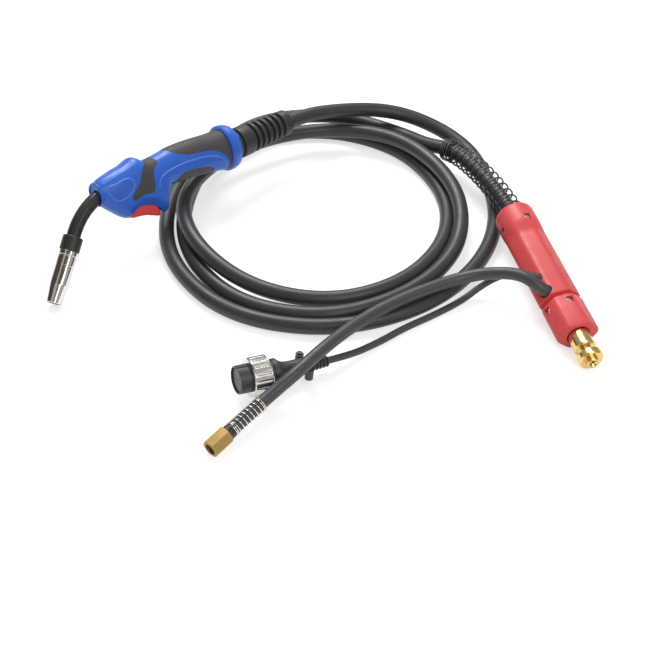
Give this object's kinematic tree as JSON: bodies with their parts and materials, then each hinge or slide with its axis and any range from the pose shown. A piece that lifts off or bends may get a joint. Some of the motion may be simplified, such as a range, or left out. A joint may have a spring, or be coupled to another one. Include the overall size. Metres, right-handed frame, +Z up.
{
  "type": "mig welding torch",
  "caption": "Hand-held gas metal arc welding torch: swan neck and nozzle, trigger handle, looped cable, central adaptor plug, gas hose and control lead",
  "frame": {"origin": "on the floor that the torch lies on, below the middle of the footprint of its rigid pieces (torch, kink sleeve and adaptor)", "axes": "+Z up; +X runs from the nozzle towards the machine-side adaptor; +Y away from the side that the two free connectors lie on"},
  "size_m": [0.5924, 0.6053, 0.1036],
  "materials": {
    "chrome": "polished",
    "brass": "satin",
    "copper": "satin",
    "steel": "satin",
    "nickel_wire": "polished",
    "black_wire": "gloss",
    "blue_plastic": "satin",
    "red_plastic": "satin",
    "black_plastic": "matte",
    "grip_rubber": "matte",
    "black_rubber": "satin",
    "cable_rubber": "satin"
  },
  "bodies": {
    "torch": {"nozzle_insulator": "black_plastic", "tip_holder": "brass", "contact_tip": "copper", "neck_core": "copper", "neck_jacket": "black_rubber", "cable_connector": "brass", "handle_left_shell": "blue_plastic", "handle_right_shell": "blue_plastic", "front_grip": "grip_rubber", "rear_top_grip": "grip_rubber", "rear_bottom_grip": "grip_rubber", "handle_collar": "blue_plastic", "handle_screws": "steel", "trigger_pin": "steel", "microswitch": "black_plastic", "cable_lead": "cable_rubber", "cable_loops": "cable_rubber", "cable_tail": "cable_rubber", "cable_spring": "black_wire", "spring_holder": "black_plastic", "housing_body": "red_plastic", "housing_nose": "red_plastic", "housing_screws": "steel", "power_block": "brass", "plug_body": "brass", "inlet_nut": "brass", "gas_hose": "cable_rubber", "gas_hose_spring": "nickel_wire", "gas_spigot": "brass", "gas_ferrule": "black_plastic", "control_lead": "cable_rubber", "lead_boot": "black_rubber", "backshell": "black_plastic", "cable_clamp": "black_plastic", "clamp_screws": "steel", "plug_barrel": "black_plastic", "contact_insert": "black_plastic", "contact_pins": "brass"},
    "nozzle": {"gas_nozzle": "chrome"},
    "trigger": {"trigger": "red_plastic"},
    "plunger": {"switch_plunger": "black_plastic"},
    "sleeve": {"swivel_ball": "black_plastic", "kink_sleeve": "black_rubber"},
    "ring": {"coupling_ring": "chrome"},
    "nut": {"gas_nut": "brass"}
  },
  "joints": [
    {"name": "nozzle_twist", "type": "hinge", "parent": "torch", "child": "nozzle", "pos_m": [-0.27988, -0.07476, 0.0265], "axis": [-0.2571, -0.7222, -0.6422], "continuous": true},
    {"name": "trigger_pivot", "type": "hinge", "parent": "torch", "child": "trigger", "pos_m": [-0.21416, 0.01011, 0.05178], "axis": [0.6363, -0.6267, 0.45], "range_deg": [0, 7], "stiffness_Nm_per_rad": 0.8, "springref_deg": -3.44},
    {"name": "plunger_slide", "type": "slide", "parent": "torch", "child": "plunger", "axis": [-0.2362, 0.397, 0.8869], "range_m": [0, 0.0031]},
    {"name": "sleeve_swivel", "type": "hinge", "parent": "torch", "child": "sleeve", "pos_m": [-0.11206, 0.12234, 0.0637], "axis": [0.7186, 0.6936, -0.0502], "continuous": true},
    {"name": "ring_turn", "type": "hinge", "parent": "torch", "child": "ring", "pos_m": [-0.05918, -0.2285, 0.02136], "axis": [0.8961, 0.4236, -0.1323], "continuous": true},
    {"name": "nut_turn", "type": "hinge", "parent": "torch", "child": "nut", "pos_m": [-0.09318, -0.30826, 0.0102], "axis": [0.6509, 0.7488, 0.1253], "continuous": true}
  ],
  "couplings": [
    {"joint": "plunger_slide", "follows": "trigger_pivot", "m_per_rad": 0.0245}
  ]
}
